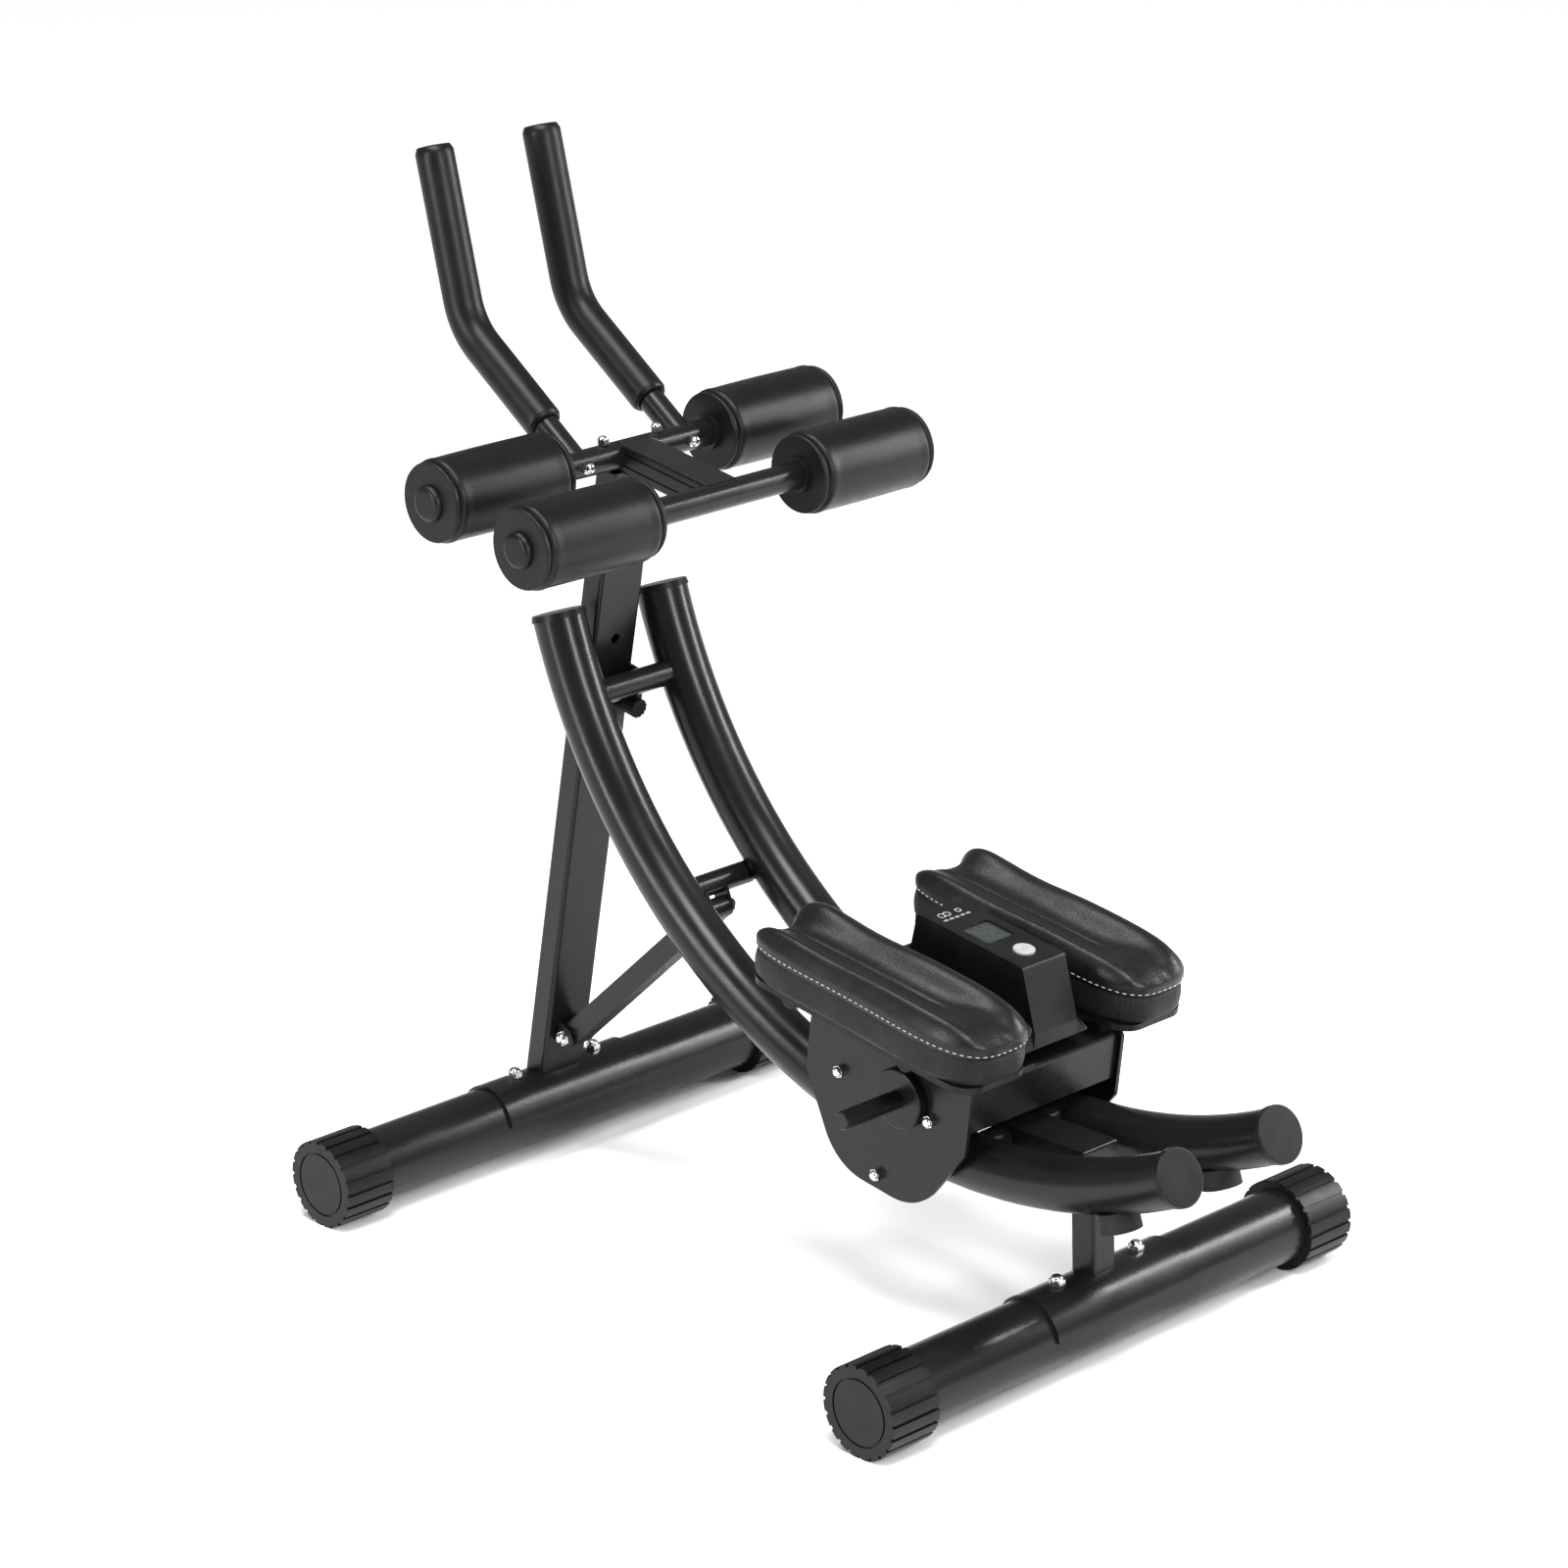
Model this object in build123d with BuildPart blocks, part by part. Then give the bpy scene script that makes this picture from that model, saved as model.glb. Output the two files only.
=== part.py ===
from build123d import *
import os
from math import sin, cos, radians, sqrt

os.makedirs("parts", exist_ok=True)

# Ab crunch machine in millimetres, Z up, the low end of the rails toward -Y.

# Clearances.
fitGap = 0.05
seatGap = 0.02
sideGap = 0.6
rollGap = 0.3

# Curved rails, bent about one line across the machine.
arcY = -224.05
arcZ = 731.4
railBend = 554.8
railRadius = 25.0
railWall = 2.5
railHalf = 64.4
railLow = -24.7
railTop = 73.4
plugDepth = 18.0
topPlugRise = 6.0
lowCapRise = 8.0
capLip = 1.4
stopAngle = -16.8
stopRadius = 18.5
stopHeight = 14.0

# Feet.
footRadius = 34.7
footWall = 2.0
footHalf = 290.0
footCapRadius = 42.8
footCapLength = 55.0
footCapEnd = 6.0
footRibs = 20
footRibDepth = 2.4
lowFootY = -305.65
backFootY = 420.75
sleeveHalf = 88.0
sleeveWall = 3.0
footBoltX = 51.0
boltRadius = 4.0
nutRadius = 7.5
nutHeight = 5.0

# Low stub and spine under the rails.
stubWidth = 28.0
spineWidth = 43.0
spineHeight = 28.0
spineTop = 197.0
spineFront = -311.65
spineRear = -199.05
spineRod = 13.0

# Upright post, leaning forward as it rises.
lean = 12.7
postFaceY = 352.65
postFaceZ = 320.5
postWidth = 54.0
postDepth = 26.0
postWall = 2.5
postRise = 378.0
pinPitch = 54.7
pinZ = 485.0
pinHoleRadius = 5.2
pinRadius = 5.0

# Cross rods between the rails.
topRodY = 280.35
topRodZ = 500.0
topRodRadius = 12.0
midRodAngle = 45.0
midRodBend = 579.0
midRodRadius = 11.0
midRodHalf = 50.0
bracketWall = 3.0
bracketHeight = 38.0
bracketGap = 11.0
bossLength = 17.0
bossRadius = 9.0
knobRadius = 9.5
knobLength = 12.0
pinShort = 6.5

# Brace between the mid rod and the post.
braceWidth = 21.0
braceWall = 2.0
braceLowY = 385.35
braceLowZ = 120.0
braceHighY = 176.85
braceHighZ = 299.5
lugWall = 3.0
lugRadius = 10.0
pivotRadius = 4.0
earRadius = 10.0

# Head with the ankle rollers and the handles.
rearBarY = 271.95
rearBarZ = 724.7
frontBarY = 151.35
frontBarZ = 703.4
barRadius = 13.0
barWall = 2.0
rollerInner = 98.0
rollerOuter = 240.0
rollerRadius = 39.0
coreRadius = 16.5
rollerRim = 36.0
rimThick = 5.0
collarRadius = 17.0
collarLength = 5.0
plugDome = 17.0
plugRise = 7.0
headWidth = 38.0
headHeight = 29.0
handleHalf = 65.3
handleRadius = 12.7
handleWall = 2.0
handleTopY = 455.25
handleTopZ = 997.4
handleBendY = 418.45
handleBendZ = 832.0
handleBendRadius = 70.0
gripRadius = 18.2
gripLowY = 313.95

# Carriage, drawn level about the bend line of the rails, then tipped by its rest angle.
restAngle = 8.9
plateInner = 94.0
plateThick = 4.0
plateHalf = 100.0
plateTop = -461.5
plateShoulder = -525.0
plateFoot = 52.0
plateBottom = -603.0
wheelRadius = 17.5
wheelWidth = 21.0
wheelSpread = 56.5
lowWheelRadius = 8.0
axleRadius = 4.0
boxFront = -95.5
boxRear = 92.0
boxBottom = -508.0
boxWall = 3.0
pegForward = -22.0
pegHeight = -500.0
pegRadius = 8.5
pegLength = 78.0
pegFlange = 28.0
pegFlangeThick = 10.0
turnPinRadius = 14.0
turnForward = 30.0

# Seat.
seatTubeRadius = 9.5
seatTubeHeight = -449.5
seatTubeFront = -41.5
seatTubeRear = 104.0
seatTubeHalf = 119.0
seatCapLength = 6.0
baseHalf = 58.0
baseFront = -75.0
baseRear = 104.0
baseBottom = -458.6
baseTop = -440.3
boardThick = 6.0
padInner = 52.0
padOuter = 149.0
padFront = -138.0
padRear = 148.0
padTop = -372.0
padCorner = 22.0
consoleHalf = 27.0
consoleBase = 44.0
consoleTop = -370.0
consoleFront = -80.0
consoleRear = 50.0
consoleWaist = -418.0
buttonRadius = 10.0
buttonForward = -56.0
buttonTravel = 1.5
windowWidth = 34.0
windowLength = 34.0
windowForward = -12.0

bendAxis = Axis((0, arcY, arcZ), (1, 0, 0))


def railPoint(x, angle, bend):
    return (x, arcY + bend * sin(radians(angle)), arcZ - bend * cos(radians(angle)))


def railPlane(x, angle, bend, way=1):
    # Plane across the rail, its normal running along the rail toward the top.
    turn = radians(angle)
    return Plane(railPoint(x, angle, bend), (1, 0, 0), (0, way * cos(turn), way * sin(turn)))


def bentRod(x, radius, bore):
    with BuildPart() as rod:
        with BuildSketch(railPlane(x, railLow, railBend)):
            Circle(radius)
            if bore > 0:
                Circle(bore, mode=Mode.SUBTRACT)
        revolve(axis=bendAxis, revolution_arc=railTop - railLow)
    return rod.part


def crossRod(y, z, radius, low, high, bore=0.0):
    # Round bar or tube along X.
    with BuildPart() as rod:
        with BuildSketch(Plane.YZ.offset(low)):
            with Locations((y, z)):
                Circle(radius)
                if bore > 0:
                    Circle(bore, mode=Mode.SUBTRACT)
        extrude(amount=high - low)
    return rod.part


def domeNut(radius, height):
    # Six-sided nut with a domed top, standing on z = 0.
    with BuildPart() as nut:
        with BuildSketch():
            RegularPolygon(radius, 6)
        extrude(amount=height)
        with BuildSketch(Plane.XY.offset(height)):
            Circle(radius * 0.78)
        extrude(amount=radius * 0.55)
        fillet(nut.faces().sort_by(Axis.Z)[-1].edges(), radius * 0.5)
    return nut.part


def footTube(y):
    return crossRod(y, footCapRadius, footRadius, -footHalf, footHalf, footRadius - footWall)


def footCap(y, side):
    # Ribbed cup over one end of a foot tube.
    inner = footHalf - footCapLength + footCapEnd
    with BuildPart() as cap:
        with BuildSketch(Plane.YZ.offset(side * inner)):
            Circle(footCapRadius)
            with PolarLocations(footCapRadius, footRibs):
                Rectangle(footRibDepth * 2, 3.4, mode=Mode.SUBTRACT)
        extrude(amount=side * footCapLength)
        with BuildSketch(Plane.YZ.offset(side * inner)):
            Circle(footRadius + seatGap)
        extrude(amount=side * (footCapLength - footCapEnd), mode=Mode.SUBTRACT)
        with BuildSketch(Plane.YZ.offset(side * (inner + footCapLength))):
            Circle(footRadius - 3)
            Circle(footRadius - 5, mode=Mode.SUBTRACT)
        extrude(amount=-side * 1.5, mode=Mode.SUBTRACT)
    return Pos(0, y, footCapRadius) * cap.part


def footSleeve(y, start):
    # Half sleeve over the top of a foot tube, with two bolt holes.
    with BuildPart() as sleeve:
        with BuildSketch(Plane.YZ.offset(-sleeveHalf)):
            with Locations((y, footCapRadius)):
                Circle(footRadius + sleeveWall)
                Circle(footRadius + seatGap, mode=Mode.SUBTRACT)
            with Locations((y, footCapRadius - footRadius)):
                Rectangle(footRadius * 3, footRadius * 2 - start * 2, mode=Mode.SUBTRACT)
        extrude(amount=sleeveHalf * 2)
        with Locations((-footBoltX, y, footCapRadius), (footBoltX, y, footCapRadius)):
            Cylinder(boltRadius + seatGap, footRadius * 2, align=(Align.CENTER, Align.CENTER, Align.MIN),
                     mode=Mode.SUBTRACT)
    return sleeve.part


def footBolts(y):
    top = footCapRadius + footRadius + sleeveWall
    with BuildPart() as bolts:
        with Locations((-footBoltX, y, top), (footBoltX, y, top)):
            Cylinder(boltRadius, 14, align=(Align.CENTER, Align.CENTER, Align.MAX))
            add(domeNut(nutRadius, nutHeight))
    return bolts.part


def drillFoot(tube, y):
    with BuildPart() as drilled:
        add(tube)
        with Locations((-footBoltX, y, footCapRadius), (footBoltX, y, footCapRadius)):
            Cylinder(boltRadius + seatGap, footRadius * 2, align=(Align.CENTER, Align.CENTER, Align.MIN),
                     mode=Mode.SUBTRACT)
    return drilled.part


pieces = {}


def keep(label, shape):
    shape.label = label
    pieces[label] = shape


# Rails, left and right, and their end plugs.
leftRailSolid = bentRod(-railHalf, railRadius, 0.0)
rightRailSolid = bentRod(railHalf, railRadius, 0.0)
keep("rail_left", bentRod(-railHalf, railRadius, railRadius - railWall))
keep("rail_right", bentRod(railHalf, railRadius, railRadius - railWall))

with BuildPart() as railTopCaps:
    for side in (-1, 1):
        with BuildSketch(railPlane(side * railHalf, railTop, railBend)):
            Circle(railRadius + capLip)
        extrude(amount=topPlugRise, taper=12)
        with BuildSketch(railPlane(side * railHalf, railTop, railBend)):
            Circle(railRadius - railWall - 1.0)
        extrude(amount=-plugDepth * 0.6, taper=4)
keep("rail_top_caps", railTopCaps.part)

with BuildPart() as railEndCaps:
    for side in (-1, 1):
        with BuildSketch(railPlane(side * railHalf, railLow, railBend, -1)):
            Circle(railRadius + capLip)
        extrude(amount=lowCapRise)
        with BuildSketch(railPlane(side * railHalf, railLow, railBend, -1)):
            Circle(railRadius - railWall - 1.0)
        extrude(amount=-plugDepth * 0.6, taper=4)
    rims = railEndCaps.edges().filter_by(GeomType.CIRCLE).filter_by(lambda e: e.radius > railRadius)
    fillet(rims, 1.6)
keep("rail_end_caps", railEndCaps.part)

# Rubber stop pads under the low ends of the rails.
with BuildPart() as stopPads:
    for side in (-1, 1):
        radial = railPoint(side * railHalf, stopAngle, railBend + railRadius)
        out = (0, sin(radians(stopAngle)), -cos(radians(stopAngle)))
        with BuildSketch(Plane(radial, (1, 0, 0), out).offset(-4)):
            Circle(stopRadius)
        extrude(amount=4 + stopHeight)
    add(leftRailSolid, mode=Mode.SUBTRACT)
    add(rightRailSolid, mode=Mode.SUBTRACT)
keep("stop_pads", stopPads.part)

# Spine bar between the rails with the hidden cross rod that carries it.
with BuildPart() as lowSpine:
    with BuildSketch(Plane.YZ.offset(-spineWidth / 2)):
        with Locations(((spineFront + spineRear) / 2, spineTop - spineHeight / 2)):
            RectangleRounded(spineRear - spineFront, spineHeight, 3)
    extrude(amount=spineWidth)
    add(crossRod(spineRear - spineRod, spineTop - spineHeight / 2, spineRod, -railHalf, railHalf))
    add(leftRailSolid, mode=Mode.SUBTRACT)
    add(rightRailSolid, mode=Mode.SUBTRACT)
keep("low_spine", lowSpine.part)

# Low foot with its sleeve, stub, caps and bolts.
lowFoot = crossRod(lowFootY, footCapRadius, footRadius + seatGap, -footHalf, footHalf)
with BuildPart() as lowPost:
    add(footSleeve(lowFootY, -4.0))
    with BuildSketch(Plane.XY.offset(footCapRadius)):
        with Locations((0, lowFootY + 4)):
            RectangleRounded(stubWidth, stubWidth, 3)
    extrude(amount=spineTop - spineHeight - footCapRadius)
    add(lowFoot, mode=Mode.SUBTRACT)
keep("low_post", lowPost.part)
keep("low_foot_tube", drillFoot(footTube(lowFootY), lowFootY))
keep("low_foot_cap_left", footCap(lowFootY, -1))
keep("low_foot_cap_right", footCap(lowFootY, 1))
keep("low_bolts", footBolts(lowFootY))

# Post frame: local z runs up the front face of the post, local y into its depth.
postPlane = Plane((0, postFaceY, postFaceZ), (1, 0, 0), (0, -sin(radians(lean)), cos(radians(lean))))
postFootY = backFootY - postFaceY
postFootZ = footCapRadius - postFaceZ
postLow = -postFootY * sin(radians(lean)) + postFootZ * cos(radians(lean))
pinHeight = (pinZ - postFaceZ) / cos(radians(lean))
headPlane = Plane((0, rearBarY, rearBarZ), (1, 0, 0), (0, frontBarY - rearBarY, frontBarZ - rearBarZ))
headLength = sqrt((rearBarY - frontBarY) ** 2 + (rearBarZ - frontBarZ) ** 2)

# Head channel from the rear bar to the front bar, two sections one on the other.
rearBarSolid = crossRod(rearBarY, rearBarZ, barRadius, -rollerOuter, rollerOuter)
frontBarSolid = crossRod(frontBarY, frontBarZ, barRadius, -rollerOuter, rollerOuter)
with BuildPart() as headChannel:
    with BuildSketch(headPlane):
        with Locations((0, 0)):
            RectangleRounded(headWidth, headHeight, 3)
        for side in (-1, 1):
            with Locations((side * headWidth / 2, headHeight * 0.2),
                           (side * headWidth / 2, -headHeight * 0.2)):
                Rectangle(3.0, 1.6, mode=Mode.SUBTRACT)
    extrude(amount=headLength)
    add(rearBarSolid, mode=Mode.SUBTRACT)
    add(frontBarSolid, mode=Mode.SUBTRACT)
keep("head_channel", headChannel.part)

# Post: rectangular tube with a row of pin holes in its front face and ears for the brace.
with BuildPart() as headTrim:
    with BuildSketch(headPlane.offset(-60)):
        with Locations((0, -headHeight / 2 + 100)):
            Rectangle(postWidth * 3, 200)
    extrude(amount=headLength + 60)
backFootSolid = crossRod(backFootY, footCapRadius, footRadius + seatGap, -footHalf, footHalf)
with BuildPart() as post:
    with BuildSketch(postPlane.offset(postLow)):
        with Locations((0, postDepth / 2)):
            RectangleRounded(postWidth, postDepth, 4)
            RectangleRounded(postWidth - postWall * 2, postDepth - postWall * 2, 2, mode=Mode.SUBTRACT)
    extrude(amount=postRise - postLow + 40)
    with BuildSketch(Plane(postPlane.origin, (1, 0, 0), postPlane.y_dir)):
        for step in range(-1, 2):
            with Locations((0, -(pinHeight + step * pinPitch))):
                Circle(pinHoleRadius)
    extrude(amount=postWall * 2, both=True, mode=Mode.SUBTRACT)
    for side in (-1, 1):
        inner = braceWidth / 2 + sideGap
        with BuildSketch(Plane.YZ.offset(side * inner)):
            with Locations((braceLowY, braceLowZ)):
                Circle(earRadius)
            with Locations(Location((braceLowY, braceLowZ, 0), (0, 0, lean))):
                Rectangle(earRadius + 4, earRadius * 2, align=(Align.MIN, Align.CENTER))
        extrude(amount=side * lugWall)
    with BuildSketch(Plane.YZ.offset(-40)):
        with Locations((braceLowY, braceLowZ)):
            Circle(pivotRadius + fitGap)
    extrude(amount=80, mode=Mode.SUBTRACT)
    add(headTrim.part, mode=Mode.SUBTRACT)
    add(backFootSolid, mode=Mode.SUBTRACT)
    add(footSleeve(backFootY, -4.0), mode=Mode.SUBTRACT)
keep("post", post.part)

keep("post_sleeve", footSleeve(backFootY, -4.0))
keep("post_foot_tube", drillFoot(footTube(backFootY), backFootY))
keep("post_foot_cap_left", footCap(backFootY, -1))
keep("post_foot_cap_right", footCap(backFootY, 1))
keep("post_bolts", footBolts(backFootY))

# Top rod between the rails, with the bracket that holds the adjusting pin.
pinPlane = postPlane.offset(pinHeight)
with BuildPart() as topRod:
    add(crossRod(topRodY, topRodZ, topRodRadius, -railHalf, railHalf))
    with BuildSketch(pinPlane.offset(-bracketHeight / 2)):
        with Locations((0, -bracketGap - bracketWall / 2)):
            Rectangle(postWidth + (sideGap + bracketWall) * 2, bracketWall)
        for side in (-1, 1):
            with Locations((side * (postWidth / 2 + sideGap + bracketWall / 2), -bracketGap - bracketWall)):
                Rectangle(bracketWall, bracketGap + bracketWall + postDepth * 0.7,
                          align=(Align.CENTER, Align.MIN))
    extrude(amount=bracketHeight)
    with BuildSketch(Plane(pinPlane.origin, (1, 0, 0), -pinPlane.y_dir)):
        Circle(bossRadius)
    extrude(amount=bracketGap + bracketWall + bossLength)
    with BuildSketch(pinPlane.offset(-bracketHeight)):
        with Locations((0, -bracketGap)):
            Rectangle(postWidth + sideGap * 2, 200, align=(Align.CENTER, Align.MIN))
    extrude(amount=bracketHeight * 2, mode=Mode.SUBTRACT)
    with BuildSketch(Plane(pinPlane.origin, (1, 0, 0), -pinPlane.y_dir)):
        Circle(pinRadius + fitGap)
    extrude(amount=bracketGap + bossLength * 2, mode=Mode.SUBTRACT)
    add(leftRailSolid, mode=Mode.SUBTRACT)
    add(rightRailSolid, mode=Mode.SUBTRACT)
keep("top_crossbar", topRod.part)

# Middle rod under the rails with the two lugs for the brace.
with BuildPart() as midRod:
    midPoint = railPoint(0, midRodAngle, midRodBend)
    add(crossRod(midPoint[1], midPoint[2], midRodRadius, -midRodHalf, midRodHalf))
    for side in (-1, 1):
        with BuildSketch(Plane.YZ.offset(side * (braceWidth / 2 + sideGap))):
            slotMiddle = ((midPoint[1] + braceHighY) / 2, (midPoint[2] + braceHighZ) / 2)
            SlotCenterPoint(slotMiddle, (braceHighY, braceHighZ), lugRadius * 2)
        extrude(amount=side * lugWall)
    with BuildSketch(Plane.YZ.offset(-30)):
        with Locations((braceHighY, braceHighZ)):
            Circle(pivotRadius + fitGap)
    extrude(amount=60, mode=Mode.SUBTRACT)
    add(leftRailSolid, mode=Mode.SUBTRACT)
    add(rightRailSolid, mode=Mode.SUBTRACT)
keep("mid_crossbar", midRod.part)

# Adjusting knob on the bracket: ribbed head and the pin it pulls.
pinOut = -pinPlane.y_dir
bossFace = bracketGap + bracketWall + bossLength
with BuildPart() as knob:
    with BuildSketch(Plane(pinPlane.origin + pinOut * (bossFace + rollGap), (1, 0, 0), pinOut)):
        Circle(knobRadius)
        with PolarLocations(knobRadius, 12):
            Circle(1.1, mode=Mode.SUBTRACT)
    extrude(amount=knobLength)
    fillet(knob.faces().filter_by(GeomType.PLANE).sort_by(lambda f: f.center().Y)[0].edges(), 0.4)
    with BuildSketch(Plane(pinPlane.origin + pinOut * pinShort, (1, 0, 0), pinOut)):
        Circle(pinRadius)
    extrude(amount=bossFace - pinShort + 4)
keep("adjust_knob", knob.part)

# Brace: square tube with rounded closed ends, and its two pivot bolts.
braceLength = sqrt((braceHighY - braceLowY) ** 2 + (braceHighZ - braceLowZ) ** 2)
with BuildPart() as brace:
    with BuildSketch(Plane.YZ.offset(-braceWidth / 2)):
        slotMiddle = ((braceLowY + braceHighY) / 2, (braceLowZ + braceHighZ) / 2)
        SlotCenterPoint(slotMiddle, (braceHighY, braceHighZ), braceWidth)
    extrude(amount=braceWidth)
    with BuildSketch(Plane((0, braceLowY, braceLowZ), (1, 0, 0),
                           (0, braceHighY - braceLowY, braceHighZ - braceLowZ)).offset(12)):
        Rectangle(braceWidth - braceWall * 2, braceWidth - braceWall * 2)
    extrude(amount=braceLength - 24, mode=Mode.SUBTRACT)
    with BuildSketch(Plane.YZ.offset(-30)):
        with Locations((braceLowY, braceLowZ), (braceHighY, braceHighZ)):
            Circle(pivotRadius + fitGap)
    extrude(amount=60, mode=Mode.SUBTRACT)
keep("brace_tube", brace.part)


def pivotBolt(y, z):
    reach = braceWidth / 2 + sideGap + lugWall
    with BuildPart() as bolt:
        add(crossRod(y, z, pivotRadius, -reach - 1, reach + 1))
        add(Location((-reach - seatGap, y, z), (0, -90, 0)) * domeNut(nutRadius, nutHeight))
        add(Location((reach + seatGap, y, z), (0, 90, 0)) * domeNut(nutRadius, nutHeight))
    return bolt.part


keep("brace_bolt_low", pivotBolt(braceLowY, braceLowZ))
keep("brace_bolt_high", pivotBolt(braceHighY, braceHighZ))


# Cross bars of the head, with a collar inside each roller.
def headBar(y, z):
    with BuildPart() as bar:
        add(crossRod(y, z, barRadius, -rollerOuter, rollerOuter, barRadius - barWall))
        for side in (-1, 1):
            start = side * (rollerInner - rollGap)
            add(crossRod(y, z, collarRadius, min(start, start - side * collarLength),
                         max(start, start - side * collarLength), barRadius - barWall))
    return bar.part


keep("rear_crossbar", headBar(rearBarY, rearBarZ))
keep("front_crossbar", headBar(frontBarY, frontBarZ))

with BuildPart() as plugs:
    for y, z in ((rearBarY, rearBarZ), (frontBarY, frontBarZ)):
        for side in (-1, 1):
            face = side * (rollerOuter + seatGap)
            crown = face + side * plugRise
            inner = side * (rollerOuter - 12)
            add(crossRod(y, z, plugDome, min(face, crown), max(face, crown)))
            add(crossRod(y, z, barRadius - barWall - fitGap, min(inner, face), max(inner, face)))
    circles = plugs.edges().filter_by(GeomType.CIRCLE)
    rounds = circles.filter_by(lambda e: abs(e.center().X) > rollerOuter + plugRise / 2)
    fillet(rounds, plugRise * 0.85)
keep("roller_plugs", plugs.part)


# Rollers: plastic core with a rimmed disc at each end, foam sleeve between the discs.
def rollerCore(y, z, side):
    inner = side * rollerInner
    outer = side * (rollerOuter - rollGap)
    bore = barRadius + fitGap
    with BuildPart() as core:
        add(crossRod(y, z, coreRadius, min(inner, outer), max(inner, outer), bore))
        for end, way in ((inner, side), (outer, -side)):
            farEnd = end + way * rimThick
            add(crossRod(y, z, rollerRim, min(end, farEnd), max(end, farEnd), bore))
            add(Location((end + way * rimThick / 2, y, z), (0, 90, 0)) * rimBead)
    return core.part


def rollerFoam(y, z, side):
    inner = side * (rollerInner + rimThick + seatGap)
    outer = side * (rollerOuter - rollGap - rimThick - seatGap)
    foam = crossRod(y, z, rollerRadius, min(inner, outer), max(inner, outer), coreRadius + seatGap)
    with BuildPart() as soft:
        add(foam)
        outerEdges = soft.edges().filter_by(GeomType.CIRCLE).filter_by(lambda e: e.radius > coreRadius + 1)
        fillet(outerEdges, 3)
    return soft.part


with BuildPart() as beadRing:
    Torus(rollerRim - 1.5, rimThick / 2)
rimBead = beadRing.part
for name, y, z in (("rear", rearBarY, rearBarZ), ("front", frontBarY, frontBarZ)):
    for hand, side in (("left", -1), ("right", 1)):
        keep("roller_core_" + name + "_" + hand, rollerCore(y, z, side))
        keep("roller_foam_" + name + "_" + hand, rollerFoam(y, z, side))

# Handles: bent tubes rising from the rear bar, with foam grips over them.
gripLowZ = handleBendZ - (handleBendY - gripLowY) * (handleBendZ - rearBarZ) / (handleBendY - rearBarY)


def handlePath(x, topY, topZ, lowY, lowZ):
    with BuildLine() as smooth:
        FilletPolyline((x, lowY, lowZ), (x, handleBendY, handleBendZ), (x, topY, topZ),
                       radius=handleBendRadius)
    return smooth.line


def bentTube(x, lowY, lowZ, topY, topZ, radius, bore):
    path = handlePath(x, topY, topZ, lowY, lowZ)
    with BuildPart() as tube:
        with BuildSketch(Plane(path @ 0, (1, 0, 0), path % 0)):
            Circle(radius)
            Circle(bore, mode=Mode.SUBTRACT)
        sweep(path=path)
    return tube.part


for hand, side in (("left", -1), ("right", 1)):
    with BuildPart() as handle:
        add(bentTube(side * handleHalf, rearBarY, rearBarZ, handleTopY, handleTopZ - 3, handleRadius,
                     handleRadius - handleWall))
        add(rearBarSolid, mode=Mode.SUBTRACT)
    keep("handle_" + hand, handle.part)
    with BuildPart() as grip:
        add(bentTube(side * handleHalf, gripLowY, gripLowZ, handleTopY, handleTopZ - 3, gripRadius,
                     handleRadius + fitGap))
        with BuildSketch(Plane((side * handleHalf, handleTopY, handleTopZ - 3), (1, 0, 0),
                               (0, handleTopY - handleBendY, handleTopZ - handleBendZ))):
            Circle(gripRadius)
        extrude(amount=3)
    keep("grip_" + hand, grip.part)

# Bolts of the head: two through the rear bar, two on the handle ends, one under the channel.
with BuildPart() as headBolts:
    for side in (-1, 1):
        add(Pos(side * 33, rearBarY, rearBarZ + barRadius) * domeNut(nutRadius * 0.8, nutHeight))
        nutPlace = Location((side * handleHalf, rearBarY - barRadius, rearBarZ), (90, 0, 0))
        add(nutPlace * domeNut(nutRadius * 0.8, nutHeight))
    add(rearBarSolid, mode=Mode.SUBTRACT)
keep("head_bolts", headBolts.part)

# Carriage, level about the bend line; it is tipped into place when it is kept.
tip = Location(Plane((0, arcY, arcZ), (1, 0, 0), (0, -sin(radians(restAngle)), cos(radians(restAngle)))))


def keepTipped(label, shape):
    keep(label, shape.moved(tip))


wheelBend = railBend - railRadius - rollGap - wheelRadius
wheelHeight = -sqrt(wheelBend ** 2 - wheelSpread ** 2)
lowWheelHeight = -(railBend + railRadius + rollGap + lowWheelRadius)
axleSpots = ((-wheelSpread, wheelHeight), (wheelSpread, wheelHeight), (0, lowWheelHeight))


def sidePlate(side):
    with BuildPart() as plate:
        with BuildSketch(Plane.YZ.offset(side * plateInner)):
            with BuildLine():
                Polyline((-plateHalf, plateTop), (plateHalf, plateTop), (plateHalf, plateShoulder),
                         (plateFoot, plateBottom), (-plateFoot, plateBottom), (-plateHalf, plateShoulder),
                         (-plateHalf, plateTop))
            make_face()
        extrude(amount=side * plateThick)
        lowCorners = plate.edges().filter_by(Axis.X).sort_by(Axis.Z)
        fillet(lowCorners[:2], 60)
        fillet(plate.edges().filter_by(Axis.X).sort_by(Axis.Z)[-4:-2], 12)
        fillet(plate.edges().filter_by(Axis.X).sort_by(Axis.Z)[-2:], 6)
        with BuildSketch(Plane.YZ.offset(side * plateInner)):
            with Locations(axleSpots):
                Circle(axleRadius + seatGap)
            with Locations((pegForward, pegHeight)):
                Circle(pegRadius + seatGap)
        extrude(amount=side * plateThick, mode=Mode.SUBTRACT)
    return plate.part


keepTipped("side_plate_left", sidePlate(-1))
keepTipped("side_plate_right", sidePlate(1))

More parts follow.
